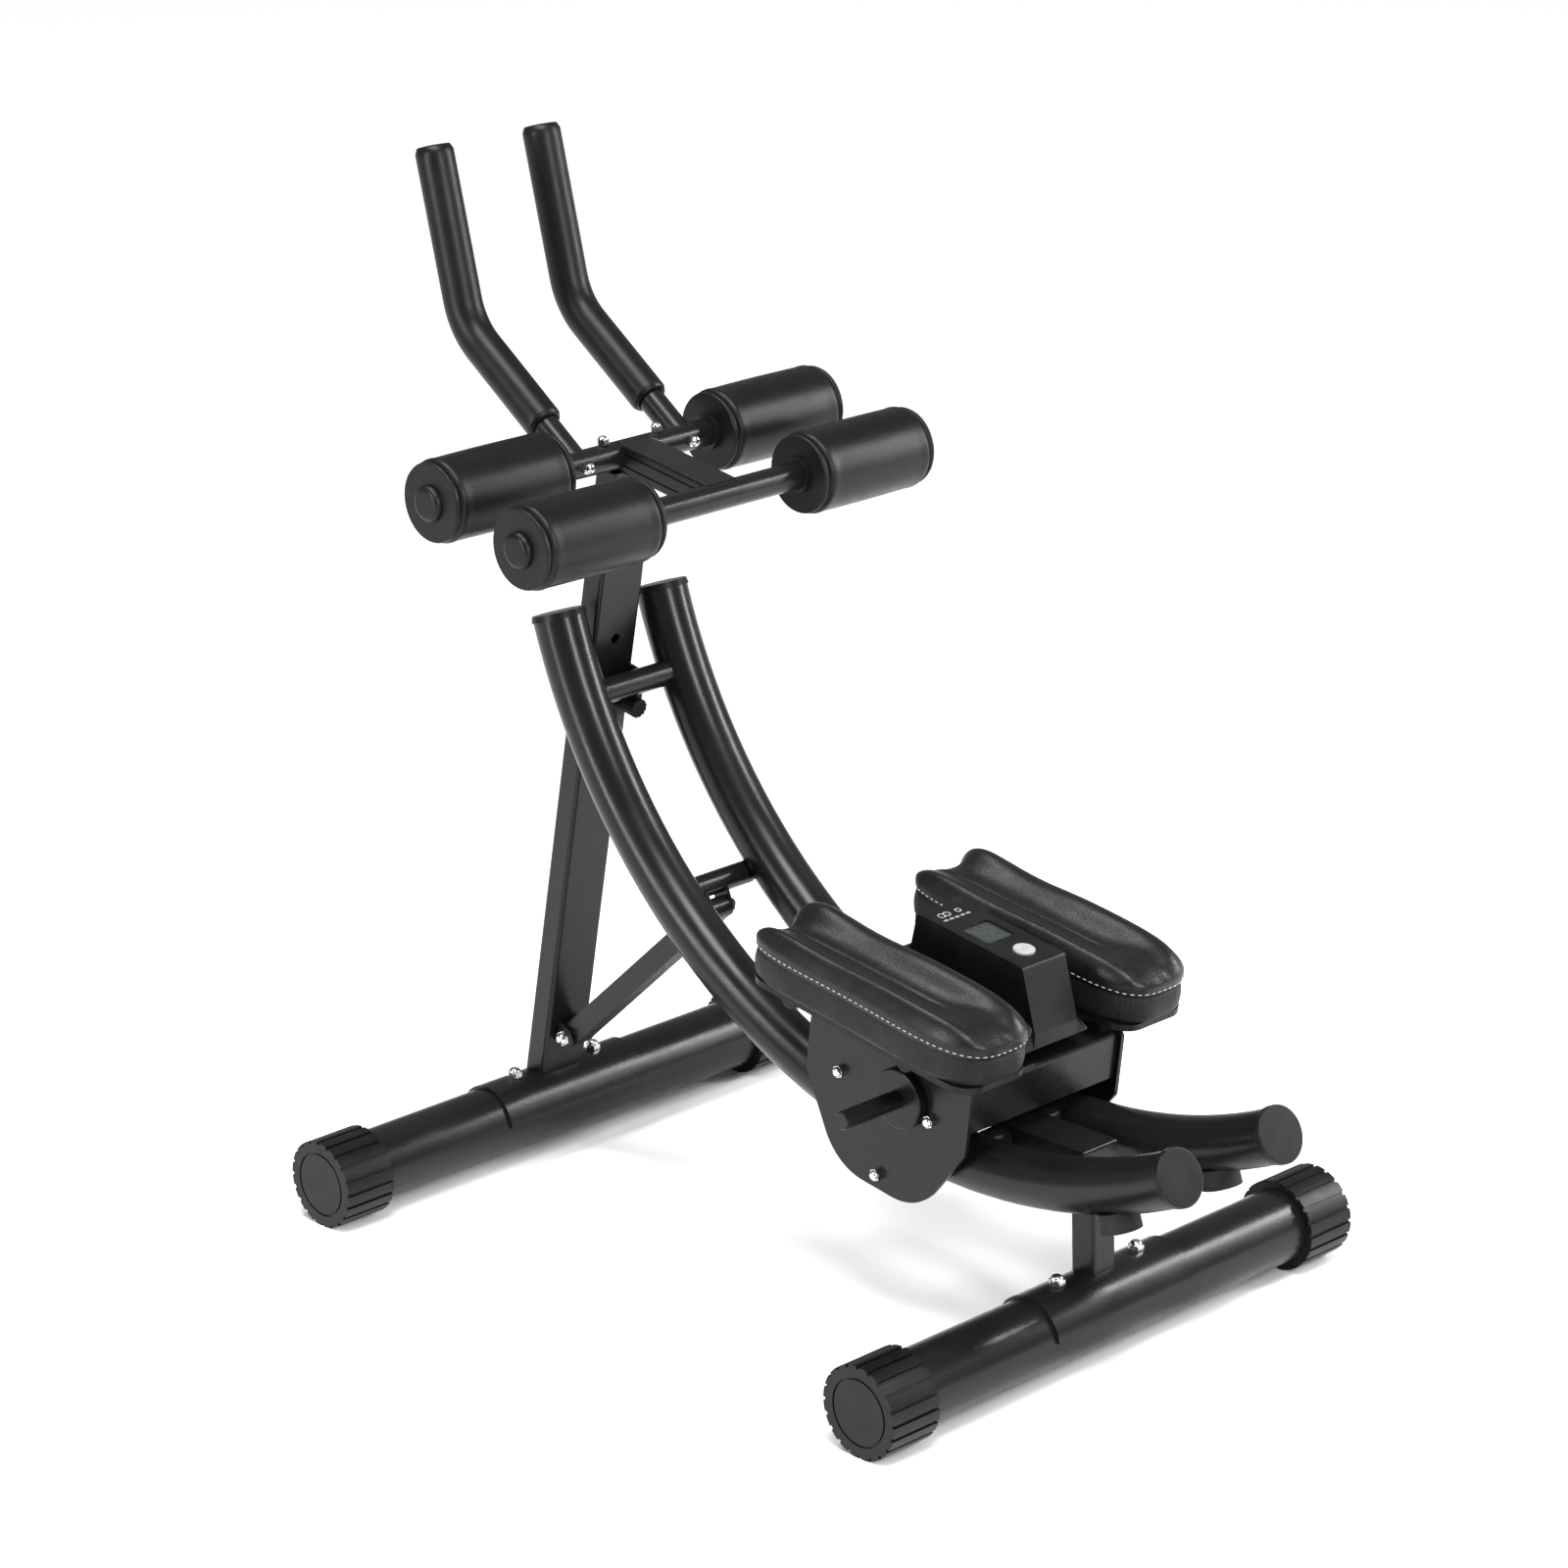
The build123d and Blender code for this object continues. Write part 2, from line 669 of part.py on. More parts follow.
# Folded box between the plates: top, front and rear walls with rounded folds.
with BuildPart() as carriageBox:
    with BuildSketch(Plane.YZ.offset(-plateInner)):
        with BuildLine():
            FilletPolyline((boxFront, boxBottom), (boxFront, plateTop), (boxRear, plateTop),
                           (boxRear, boxBottom + 22), radius=6)
            offset(amount=-boxWall, side=Side.RIGHT)
        make_face()
    extrude(amount=plateInner * 2)
keepTipped("carriage_box", carriageBox.part)

with BuildPart() as turnPin:
    with BuildSketch(Plane.XY.offset(plateTop)):
        with Locations((0, turnForward)):
            Circle(turnPinRadius)
    extrude(amount=baseTop - plateTop - 1)
keepTipped("turn_pin", turnPin.part)


def weightPeg(side):
    with BuildPart() as peg:
        face = side * (plateInner + plateThick)
        end = side * (plateInner + plateThick + pegLength)
        back = side * plateInner
        add(crossRod(pegForward, pegHeight, pegRadius, min(back, end), max(back, end)))
        rimEnd = face + side * pegFlangeThick
        add(crossRod(pegForward, pegHeight, pegFlange, min(face, rimEnd), max(face, rimEnd)))
        flangeRims = peg.edges().filter_by(GeomType.CIRCLE).filter_by(lambda e: e.radius > pegRadius + 1)
        fillet(flangeRims, 2)
        tipEdge = peg.edges().filter_by(GeomType.CIRCLE).sort_by(Axis.X, reverse=side > 0)[0]
        chamfer(tipEdge, 1)
    return peg.part


keepTipped("weight_peg_left", weightPeg(-1))
keepTipped("weight_peg_right", weightPeg(1))

with BuildPart() as axleBolts:
    wheelEnd = railHalf - wheelWidth / 2 - 2
    for y, z in axleSpots:
        for side in (-1, 1):
            outer = side * (plateInner + plateThick)
            inner = side * wheelEnd
            add(crossRod(y, z, axleRadius, min(outer, inner), max(outer, inner)))
            add(Location((outer, y, z), (0, side * 90, 0)) * domeNut(nutRadius * 0.8, nutHeight))
            lip = inner - side * 2.5
            add(crossRod(y, z, axleRadius + 2.4, min(inner, lip), max(inner, lip)))
keepTipped("axle_bolts", axleBolts.part)

for label, (y, z), radius in (("wheels_front", axleSpots[0], wheelRadius),
                              ("wheels_rear", axleSpots[1], wheelRadius),
                              ("wheels_low", axleSpots[2], lowWheelRadius)):
    with BuildPart() as wheels:
        for side in (-1, 1):
            low = side * railHalf - wheelWidth / 2
            add(crossRod(y, z, radius, low, low + wheelWidth, axleRadius + fitGap))
        rims = wheels.edges().filter_by(GeomType.CIRCLE).filter_by(lambda e: e.radius > axleRadius + 1)
        fillet(rims, 1.5)
    keepTipped(label, wheels.part)

# Seat: two cross tubes through a base block, boards and pads on the tubes, console between the pads.
def seatTube(forward):
    return crossRod(forward, seatTubeHeight, seatTubeRadius, -seatTubeHalf, seatTubeHalf)


with BuildPart() as seatBase:
    with BuildSketch(Plane.XY.offset(baseBottom)):
        with Locations((0, (baseFront + baseRear) / 2)):
            RectangleRounded(baseHalf * 2, baseRear - baseFront, 10)
    extrude(amount=baseTop - baseBottom)
    with BuildSketch(Plane.XY.offset(baseBottom)):
        with Locations((0, turnForward)):
            Circle(turnPinRadius + fitGap)
    extrude(amount=baseTop - baseBottom - 0.4, mode=Mode.SUBTRACT)
    add(seatTube(seatTubeRear), mode=Mode.SUBTRACT)
    add(seatTube(seatTubeFront))
keepTipped("seat_base", seatBase.part)

with BuildPart() as seatCrossRear:
    add(seatTube(seatTubeRear))
keepTipped("seat_crossbar_rear", seatCrossRear.part)

with BuildPart() as seatCaps:
    for forward in (seatTubeFront, seatTubeRear):
        for side in (-1, 1):
            start = side * seatTubeHalf
            end = start + side * seatCapLength
            add(crossRod(forward, seatTubeHeight, seatTubeRadius, min(start, end), max(start, end)))
    fillet(seatCaps.edges().filter_by(GeomType.CIRCLE), 1.2)
keepTipped("seat_tube_caps", seatCaps.part)


def padBlock(side, inset, bottom, height, crown):
    with BuildPart() as block:
        with BuildSketch(Plane.XY.offset(bottom)):
            with Locations((side * (padInner + padOuter) / 2, (padFront + padRear) / 2)):
                RectangleRounded(padOuter - padInner - inset * 2, padRear - padFront - inset * 2, padCorner)
        extrude(amount=height)
        if crown > 0:
            fillet(block.faces().sort_by(Axis.Z)[-1].edges(), crown)
    return block.part


boardBottom = seatTubeHeight + seatTubeRadius
for hand, side in (("left", -1), ("right", 1)):
    keepTipped("pad_board_" + hand, padBlock(side, 6.0, boardBottom, boardThick, 0.0))
    padLow = boardBottom + boardThick
    keepTipped("pad_" + hand, padBlock(side, 0.0, padLow, padTop - padLow, 16.0))

# Display pod between the two boards, with its sloping front and flat top.
with BuildPart() as console:
    with BuildSketch(Plane.YZ.offset(-consoleHalf)):
        with BuildLine():
            Polyline((consoleFront, consoleTop), (consoleRear, consoleTop),
                     (consoleRear + 8, boardBottom + 0.1),
                     (consoleFront - 24, boardBottom + 0.1), (consoleFront - 23, consoleWaist - 8),
                     (consoleFront, consoleTop))
        make_face()
    extrude(amount=consoleHalf * 2)
    fillet(console.edges().filter_by(Axis.X).sort_by(Axis.Z)[-2:], 4)
    with BuildSketch(Plane.XY.offset(boardBottom + 0.1)):
        with Locations((0, (consoleFront - 24 + consoleRear + 8) / 2)):
            RectangleRounded(consoleBase * 2, consoleRear - consoleFront + 32, 6)
    with BuildSketch(Plane.XY.offset(consoleWaist)):
        with Locations((0, (consoleFront - 18 + consoleRear + 6) / 2)):
            RectangleRounded(consoleHalf * 2, consoleRear - consoleFront + 24, 6)
    loft()
    with BuildSketch(Plane.XY.offset(consoleTop)):
        with Locations((0, buttonForward)):
            Circle(buttonRadius + 0.4)
    extrude(amount=-9, mode=Mode.SUBTRACT)
    with BuildSketch(Plane.XY.offset(consoleTop)):
        with Locations((0, windowForward)):
            RectangleRounded(windowWidth, windowLength, 3)
    extrude(amount=-4, mode=Mode.SUBTRACT)
keepTipped("console_housing", console.part)

with BuildPart() as window:
    with BuildSketch(Plane.XY.offset(consoleTop - 4)):
        with Locations((0, windowForward)):
            RectangleRounded(windowWidth - seatGap * 2, windowLength - seatGap * 2, 3)
    extrude(amount=2)
keepTipped("console_window", window.part)

with BuildPart() as button:
    with BuildSketch(Plane.XY.offset(consoleTop - 9 + buttonTravel + 0.5)):
        with Locations((0, buttonForward)):
            Circle(buttonRadius)
    extrude(amount=9 - buttonTravel + 1.5)
    fillet(button.faces().sort_by(Axis.Z)[-1].edges(), 0.8)
keepTipped("start_button", button.part)

for label, shape in pieces.items():
    export_step(shape, "parts/" + label + ".step")
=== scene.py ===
import math
import bmesh
import bpy
import numpy as np
from mathutils import Matrix


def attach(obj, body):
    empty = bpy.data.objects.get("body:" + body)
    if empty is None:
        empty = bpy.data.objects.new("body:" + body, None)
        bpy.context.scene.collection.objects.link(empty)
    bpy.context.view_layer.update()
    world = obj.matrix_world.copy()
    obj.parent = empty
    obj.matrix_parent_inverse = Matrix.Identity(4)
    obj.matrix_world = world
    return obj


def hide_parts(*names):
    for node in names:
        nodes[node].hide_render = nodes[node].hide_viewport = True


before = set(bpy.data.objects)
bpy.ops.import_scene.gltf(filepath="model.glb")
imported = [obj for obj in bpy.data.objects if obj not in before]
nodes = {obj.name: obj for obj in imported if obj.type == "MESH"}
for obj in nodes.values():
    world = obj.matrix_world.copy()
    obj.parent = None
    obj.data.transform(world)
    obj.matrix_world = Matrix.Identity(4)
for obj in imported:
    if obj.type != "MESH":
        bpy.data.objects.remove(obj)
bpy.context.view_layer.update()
print("frame loaded,", len(nodes), "steel and plastic pieces")

# The rails are bent about one line across the machine; the carriage sits tipped about it.
carriageSet = {"arcY": -0.22405, "arcZ": 0.7314, "tip": math.radians(8.9)}


# Turns points drawn level about the bend line by the rest angle of the carriage.
def tipped(points):
    out = points.copy()
    c, s = math.cos(carriageSet["tip"]), math.sin(carriageSet["tip"])
    out[..., 1] = carriageSet["arcY"] + points[..., 1] * c - points[..., 2] * s
    out[..., 2] = carriageSet["arcZ"] + points[..., 1] * s + points[..., 2] * c
    return out


# Makes an object from whole arrays of points and faces, smooth shaded.
def meshPiece(name, points, faces, material):
    mesh = bpy.data.meshes.new(name)
    mesh.from_pydata(points.reshape(-1, 3).tolist(), [], faces)
    mesh.update()
    mesh.polygons.foreach_set("use_smooth", np.ones(len(mesh.polygons), dtype=bool))
    piece = bpy.data.objects.new(name, mesh)
    bpy.context.scene.collection.objects.link(piece)
    mesh.materials.append(material)
    return piece


# Quads between neighbouring rows of a grid, the columns closing on themselves.
def tubeFaces(rows, columns, start=0):
    row, column = np.meshgrid(np.arange(rows - 1), np.arange(columns), indexing="ij")
    after = (column + 1) % columns
    quads = np.stack([row * columns + column, row * columns + after,
                      (row + 1) * columns + after, (row + 1) * columns + column], axis=-1)
    return (quads.reshape(-1, 4) + start).tolist()


# Fan of triangles that closes one end row on a middle point.
def poleFaces(rowStart, columns, middle, turned):
    near = rowStart + np.arange(columns)
    after = rowStart + (np.arange(columns) + 1) % columns
    order = [after, near] if turned else [near, after]
    return np.stack(order + [np.full(columns, middle)], axis=-1).tolist()


# Finishes. Each pattern reads the piece's own coordinates in metres.
finishSet = {
    "powderCoat": {"dark": (0.005, 0.005, 0.0055), "light": (0.0078, 0.0078, 0.0085), "patch": 9.0,
        "rough": (0.24, 0.31), "grain": 900.0, "depth": 0.05, "metal": 0.0, "coat": 0.08},
    "mouldedBlack": {"dark": (0.003, 0.003, 0.0033), "light": (0.0065, 0.0065, 0.007), "patch": 30.0,
        "rough": (0.34, 0.44), "grain": 1600.0, "depth": 0.10, "metal": 0.0, "coat": 0.0},
    "stopRubber": {"dark": (0.008, 0.008, 0.008), "light": (0.02, 0.02, 0.02), "patch": 40.0,
        "rough": (0.6, 0.8), "grain": 1200.0, "depth": 0.2, "metal": 0.0, "coat": 0.0},
    "skinnedFoam": {"dark": (0.003, 0.003, 0.0033), "light": (0.005, 0.005, 0.0055), "patch": 22.0,
        "rough": (0.34, 0.41), "grain": 2100.0, "depth": 0.14, "metal": 0.0, "coat": 0.0},
    "brightSteel": {"dark": (0.52, 0.52, 0.53), "light": (0.78, 0.78, 0.79), "patch": 120.0,
        "rough": (0.12, 0.28), "grain": 2600.0, "depth": 0.04, "metal": 1.0, "coat": 0.0},
    "paleButton": {"dark": (0.26, 0.27, 0.28), "light": (0.34, 0.35, 0.36), "patch": 150.0,
        "rough": (0.3, 0.42), "grain": 1800.0, "depth": 0.06, "metal": 0.0, "coat": 0.2},
    "displayGlass": {"dark": (0.018, 0.022, 0.020), "light": (0.035, 0.042, 0.038), "patch": 200.0,
        "rough": (0.08, 0.16), "grain": 900.0, "depth": 0.01, "metal": 0.0, "coat": 0.6},
    "seamThread": {"dark": (0.34, 0.34, 0.345), "light": (0.5, 0.5, 0.505), "patch": 900.0,
        "rough": (0.6, 0.8), "grain": 5200.0, "depth": 0.35, "metal": 0.0, "coat": 0.0},
}


# Cloudy colour between two tones, roughness from a second cloud, fine bump from a third.
def makeFinish(name):
    look = finishSet[name]
    material = bpy.data.materials.new(name)
    material.use_nodes = True
    tree = material.node_tree
    shader = tree.nodes["Principled BSDF"]
    shader.inputs["Metallic"].default_value = look["metal"]
    shader.inputs["Specular IOR Level"].default_value = 0.5 if look["metal"] > 0 else 0.2
    shader.inputs["Coat Weight"].default_value = look["coat"]
    shader.inputs["Coat Roughness"].default_value = 0.25
    coords = tree.nodes.new("ShaderNodeTexCoord")
    cloud = tree.nodes.new("ShaderNodeTexNoise")
    cloud.inputs["Scale"].default_value = look["patch"]
    cloud.inputs["Detail"].default_value = 6.0
    tones = tree.nodes.new("ShaderNodeValToRGB")
    tones.color_ramp.elements[0].position = 0.32
    tones.color_ramp.elements[1].position = 0.72
    tones.color_ramp.elements[0].color = (*look["dark"], 1)
    tones.color_ramp.elements[1].color = (*look["light"], 1)
    rub = tree.nodes.new("ShaderNodeTexNoise")
    rub.inputs["Scale"].default_value = look["patch"] * 2.7
    rub.inputs["Detail"].default_value = 8.0
    spread = tree.nodes.new("ShaderNodeMapRange")
    spread.inputs["From Min"].default_value = 0.3
    spread.inputs["From Max"].default_value = 0.7
    spread.inputs["To Min"].default_value = look["rough"][0]
    spread.inputs["To Max"].default_value = look["rough"][1]
    grain = tree.nodes.new("ShaderNodeTexNoise")
    grain.inputs["Scale"].default_value = look["grain"]
    grain.inputs["Detail"].default_value = 3.0
    bump = tree.nodes.new("ShaderNodeBump")
    bump.inputs["Strength"].default_value = look["depth"]
    bump.inputs["Distance"].default_value = 0.0006
    link = tree.links.new
    for texture in (cloud, rub, grain):
        link(coords.outputs["Object"], texture.inputs["Vector"])
    link(cloud.outputs["Fac"], tones.inputs["Fac"])
    link(tones.outputs["Color"], shader.inputs["Base Color"])
    link(rub.outputs["Fac"], spread.inputs["Value"])
    link(spread.outputs["Result"], shader.inputs["Roughness"])
    link(grain.outputs["Fac"], bump.inputs["Height"])
    link(bump.outputs["Normal"], shader.inputs["Normal"])
    return material


finishes = {name: makeFinish(name) for name in finishSet}

# Pad cover: pebbled grain from small cells over broad soft creases, a woven dot pattern on the side band.
coverSet = {"cell": 620.0, "crease": 60.0, "dots": 330.0, "dark": (0.0025, 0.0025, 0.003),
            "light": (0.006, 0.006, 0.0065)}


def makeCover(name, dotted):
    material = bpy.data.materials.new(name)
    material.use_nodes = True
    tree = material.node_tree
    link = tree.links.new
    shader = tree.nodes["Principled BSDF"]
    shader.inputs["Sheen Weight"].default_value = 0.02
    shader.inputs["Specular IOR Level"].default_value = 0.22
    shader.inputs["Coat Weight"].default_value = 0.0 if dotted else 0.08
    shader.inputs["Coat Roughness"].default_value = 0.3
    coords = tree.nodes.new("ShaderNodeTexCoord")
    cells = tree.nodes.new("ShaderNodeTexVoronoi")
    cells.inputs["Scale"].default_value = coverSet["dots"] if dotted else coverSet["cell"]
    if dotted:
        cells.inputs["Randomness"].default_value = 0.12
    crease = tree.nodes.new("ShaderNodeTexNoise")
    crease.inputs["Scale"].default_value = coverSet["crease"]
    crease.inputs["Detail"].default_value = 7.0
    both = tree.nodes.new("ShaderNodeMath")
    both.operation = "MULTIPLY_ADD"
    both.inputs[1].default_value = 1.0 if dotted else 0.7
    bump = tree.nodes.new("ShaderNodeBump")
    bump.inputs["Strength"].default_value = 0.6 if dotted else 0.2
    bump.inputs["Distance"].default_value = 0.0009
    tones = tree.nodes.new("ShaderNodeValToRGB")
    tones.color_ramp.elements[0].position = 0.15
    tones.color_ramp.elements[1].position = 0.75
    tones.color_ramp.elements[0].color = (*coverSet["light"], 1)
    tones.color_ramp.elements[1].color = (*coverSet["dark"], 1)
    spread = tree.nodes.new("ShaderNodeMapRange")
    spread.inputs["From Min"].default_value = 0.3
    spread.inputs["From Max"].default_value = 0.7
    spread.inputs["To Min"].default_value = 0.46 if dotted else 0.32
    spread.inputs["To Max"].default_value = 0.6 if dotted else 0.42
    for texture in (cells, crease):
        link(coords.outputs["Object"], texture.inputs["Vector"])
    link(cells.outputs["Distance"], both.inputs[0])
    link(crease.outputs["Fac"], both.inputs[2])
    link(both.outputs["Value"], bump.inputs["Height"])
    link(cells.outputs["Distance"], tones.inputs["Fac"])
    link(tones.outputs["Color"], shader.inputs["Base Color"])
    link(crease.outputs["Fac"], spread.inputs["Value"])
    link(spread.outputs["Result"], shader.inputs["Roughness"])
    link(bump.outputs["Normal"], shader.inputs["Normal"])
    return material


smoothCover = makeCover("smoothCover", False)
dottedCover = makeCover("dottedCover", True)
print("finishes made")

# Finish of each fixed piece by the start of its name.
finishByStart = [
    ("rail_top", "mouldedBlack"), ("rail_end", "mouldedBlack"), ("stop_pads", "stopRubber"),
    ("low_foot_cap", "mouldedBlack"), ("post_foot_cap", "mouldedBlack"), ("low_bolts", "brightSteel"),
    ("post_bolts", "brightSteel"), ("head_bolts", "brightSteel"), ("brace_bolt", "brightSteel"),
    ("axle_bolts", "brightSteel"), ("adjust_knob", "mouldedBlack"), ("roller_plugs", "mouldedBlack"),
    ("roller_core", "mouldedBlack"), ("wheels", "mouldedBlack"), ("seat_tube_caps", "mouldedBlack"),
    ("console_housing", "mouldedBlack"), ("console_window", "displayGlass"), ("start_button", "paleButton"),
    ("pad_board", "mouldedBlack"),
]
for name, node in nodes.items():
    chosen = next((finish for start, finish in finishByStart if name.startswith(start)), "powderCoat")
    for place in node.material_slots:
        place.material = finishes[chosen]

# Knee pads. Rings of one plan outline grow from the underside to the wall and close in over the crown.
padSet = {
    "innerX": 0.0515, "outerX": 0.1495, "frontY": -0.139, "rearY": 0.149, "bottom": -0.4338, "seam": -0.4075,
    "wallTop": -0.3975, "base": 0.0095, "broadRidge": 0.0165, "lowRidge": 0.0085, "noseFill": 0.0075,
    "crease": 0.0012, "edgePower": 7.0, "ringSteps": 44, "around": 300, "square": 4.6, "notch": 0.018,
    "stitch": 0.0042, "gap": 0.0026, "thread": 0.00048, "stitchRise": 0.0042, "stitchInset": 0.9985,
    "stitchRings": 7, "stitchSides": 6, "groove": 0.0012,
}


# Plan outline as a superellipse, the rear end hollowed toward the middle and the front corners rounder.
def padOutline(theta, side):
    halfX = (padSet["outerX"] - padSet["innerX"]) / 2
    halfY = (padSet["rearY"] - padSet["frontY"]) / 2
    c, s = np.cos(theta), np.sin(theta)
    power = padSet["square"] - 1.3 * np.clip(-s, 0, 1) ** 2
    reach = (np.abs(c) ** power + np.abs(s) ** power) ** (-1 / power)
    across, along = reach * c, reach * s
    hollow = np.exp(-((across - 0.12) / 0.42) ** 2) * np.clip(along, 0, 1) ** 6
    along = along - (padSet["notch"] / halfY) * hollow
    waist = np.exp(-((along - 0.1) / 0.5) ** 2) * np.sign(across) * np.clip(np.abs(across), 0, 1)
    across = across - 0.06 * waist
    return side * halfX * across, halfY * along


# Height of the crown: a dome inside the edge, a broad ridge on one side, a low one on the other
# and a knee valley between them that closes at the nose.
def padCrown(across, along, share):
    dome = np.clip(1 - share ** padSet["edgePower"], 0, 1) ** 0.6
    broad = padSet["broadRidge"] * np.exp(-((across - 0.42) / 0.36) ** 2)
    low = padSet["lowRidge"] * np.exp(-((across + 0.74) / 0.21) ** 2)
    length = 1 + 0.14 * np.exp(-((along - 0.8) / 0.18) ** 2) - 0.22 * np.exp(-((along - 0.3) / 0.3) ** 2)
    nose = padSet["noseFill"] * np.exp(-((along + 0.82) / 0.2) ** 2) * np.exp(-((across + 0.22) / 0.36) ** 2)
    fold = np.exp(-((across + 0.26 + 0.05 * along) / 0.045) ** 2)
    crease = padSet["crease"] * fold * np.clip((along + 0.75) * 3, 0, 1)
    return dome * (padSet["base"] + (broad + low) * length + nose - crease)


def makePad(hand, side):
    around = padSet["around"]
    theta = np.linspace(0, 2 * np.pi, around, endpoint=False)
    outX, outY = padOutline(theta, side)
    middleX = side * (padSet["innerX"] + padSet["outerX"]) / 2
    middleY = (padSet["frontY"] + padSet["rearY"]) / 2
    bottom, seam, top = padSet["bottom"], padSet["seam"], padSet["wallTop"]
    under = np.array([[0.35, bottom], [0.7, bottom], [0.93, bottom],
                      [0.962, bottom + 0.0006], [0.98, bottom + 0.003]])
    low = np.linspace(0, 1, 9)
    bandStart, bandEnd = bottom + 0.004, seam - padSet["groove"]
    band = np.stack([0.984 + 0.012 * np.sin(np.pi * low), bandStart + (bandEnd - bandStart) * low], 1)
    wallStart = seam + padSet["groove"]
    groove = np.array([[0.972, seam], [0.986, wallStart]])
    rise = np.linspace(0, 1, 7)[1:]
    upper = np.stack([0.988 + 0.012 * np.sin(np.pi * 0.5 * rise), wallStart + (top - wallStart) * rise], 1)
    walls = np.concatenate([under, band, groove, upper])
    share = 1 - np.linspace(0, 1, padSet["ringSteps"])[1:-1] ** 1.6
    wallPoints = np.stack([walls[:, :1] * outX + middleX, walls[:, :1] * outY + middleY,
                           np.broadcast_to(walls[:, 1:], (len(walls), around))], axis=-1)
    ringX, ringY = share[:, None] * outX, share[:, None] * outY
    halfX = (padSet["outerX"] - padSet["innerX"]) / 2
    halfY = (padSet["rearY"] - padSet["frontY"]) / 2
    lift = padCrown(ringX / halfX, ringY / halfY, np.broadcast_to(share[:, None], ringX.shape))
    ripple = 0.00022 * np.sin(ringY * 210 + 4 * np.sin(ringX * 120)) * share[:, None] ** 6
    crownPoints = np.stack([ringX + middleX, ringY + middleY, top + lift + ripple], axis=-1)
    grid = np.concatenate([wallPoints, crownPoints])
    rows = len(grid)
    peak = top + padCrown(np.zeros(1), np.zeros(1), np.zeros(1))[0]
    poles = np.array([[middleX, middleY, bottom], [middleX, middleY, peak]])
    points = tipped(np.concatenate([grid.reshape(-1, 3), poles]))
    faces = tubeFaces(rows, around) + poleFaces(0, around, rows * around, True)
    faces += poleFaces((rows - 1) * around, around, rows * around + 1, False)
    pad = meshPiece("knee_pad_" + hand, points, faces, smoothCover)
    if side < 0:
        pad.data.flip_normals()
    pad.data.materials.append(dottedCover)
    heights = np.array([face[0] // around for face in faces[:(rows - 1) * around]])
    index = np.zeros(len(faces), dtype=np.int32)
    index[:(rows - 1) * around] = heights < len(under) + len(band)
    pad.data.polygons.foreach_set("material_index", index)
    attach(pad, "seat")
    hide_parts("pad_" + hand)
    makeStitches(hand, outX, outY, middleX, middleY)


# Thread dashes: small ellipsoids set at equal steps round the wall just above the seam.
def makeStitches(hand, outX, outY, middleX, middleY):
    level = padSet["seam"] + padSet["stitchRise"]
    inset = padSet["stitchInset"]
    loop = np.stack([outX * inset + middleX, outY * inset + middleY, np.full(len(outX), level)], axis=-1)
    closed = np.concatenate([loop, loop[:1]])
    steps = np.linalg.norm(np.diff(closed, axis=0), axis=1)
    run = np.concatenate([[0], np.cumsum(steps)])
    count = int(run[-1] / (padSet["stitch"] + padSet["gap"]))
    where = (np.arange(count) + 0.5) * run[-1] / count
    centre = np.stack([np.interp(where, run, closed[:, k]) for k in range(3)], axis=-1)
    further = (where + 0.0005) % run[-1]
    ahead = np.stack([np.interp(further, run, closed[:, k]) for k in range(3)], axis=-1) - centre
    ahead /= np.linalg.norm(ahead, axis=1)[:, None]
    upward = np.tile([0.0, 0.0, 1.0], (count, 1))
    outward = np.cross(ahead, upward)
    rings, sides = padSet["stitchRings"], padSet["stitchSides"]
    t = np.linspace(-1, 1, rings)[None, :, None]
    phi = np.linspace(0, 2 * np.pi, sides, endpoint=False)[None, None, :]
    girth = padSet["thread"] * np.sqrt(1 - (t * 0.98) ** 2)
    length = padSet["stitch"] / 2 * t + 0 * phi
    cosine, sine = girth * np.cos(phi), girth * np.sin(phi)
    points = (centre[:, None, None] + length[..., None] * ahead[:, None, None]
              + cosine[..., None] * upward[:, None, None] + sine[..., None] * outward[:, None, None])
    faces = []
    for stitch in range(count):
        start = stitch * rings * sides
        end = start + rings * sides
        faces += tubeFaces(rings, sides, start)
        faces.append(list(range(start + sides - 1, start - 1, -1)))
        faces.append(list(range(end - sides, end)))
    thread = meshPiece("pad_stitching_" + hand, tipped(points.reshape(-1, 3)), faces, finishes["seamThread"])
    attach(thread, "seat")


makePad("left", -1)
makePad("right", 1)
print("knee pads and stitching made")

# Printed marks on the console: three thin rings and a row of short bars, each a low round bead.
legendSet = {
    "level": -0.37, "bead": 0.00045, "around": 40, "sides": 8,
    "barY": 0.0245, "barX": 0.0045, "barWidth": 0.0018,
    "rings": ((-0.0125, 0.0335, 0.0034), (-0.0060, 0.0335, 0.0034), (0.0080, 0.0335, 0.0028)),
    "bars": (-0.016, -0.009, -0.002, 0.005, 0.012),
}


